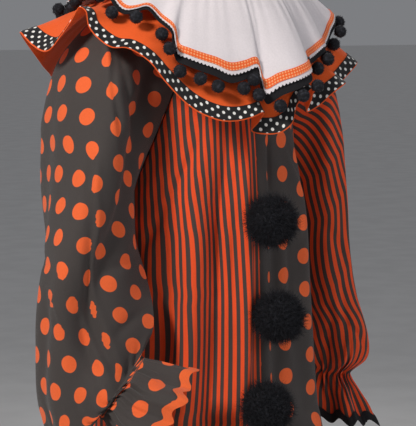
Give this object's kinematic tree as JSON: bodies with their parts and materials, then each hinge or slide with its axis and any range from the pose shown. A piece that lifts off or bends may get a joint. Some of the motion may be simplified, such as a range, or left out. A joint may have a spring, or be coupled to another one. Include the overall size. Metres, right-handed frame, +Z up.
{
  "type": "clown costume",
  "caption": "Half striped, half dotted clown jumpsuit with full gathered sleeves, a layered ruff with pompom fringe and fur pompoms down the front.",
  "frame": {"origin": "middle of the neck, level with the shoulder seams", "axes": "+Z up along the body, -Y is the front of the garment, +X is the wearer's left"},
  "size_m": [0.6486, 0.4433, 1.404],
  "materials": {
    "orange_stripe": "woven cotton, orange and charcoal stripes 6 mm wide",
    "charcoal_dot": "woven cotton, charcoal with orange dots 25 mm wide",
    "white_cotton": "matte woven cotton",
    "orange_cotton": "matte woven cotton",
    "black_trim": "ribbon, rickrack, braid and fur pile, matte",
    "orange_trim": "rickrack and ribbon, soft sheen"
  },
  "bodies": {
    "root": {"front_right": "orange_stripe", "front_left": "charcoal_dot", "back_right": "orange_stripe", "back_left": "charcoal_dot", "sleeve_right": "charcoal_dot", "sleeve_left": "orange_stripe", "rickrack_right": "orange_trim", "rickrack_left": "black_trim", "neckband": "white_cotton", "ruffle_orange": "orange_cotton", "ribbon_pin_dot": "black_trim", "ruffle_white": "white_cotton", "ribbon_flecked": "orange_trim", "ball_fringe": "black_trim", "pompom_1": "black_trim", "pompom_2": "black_trim", "pompom_3": "black_trim"}
  },
  "joints": []
}
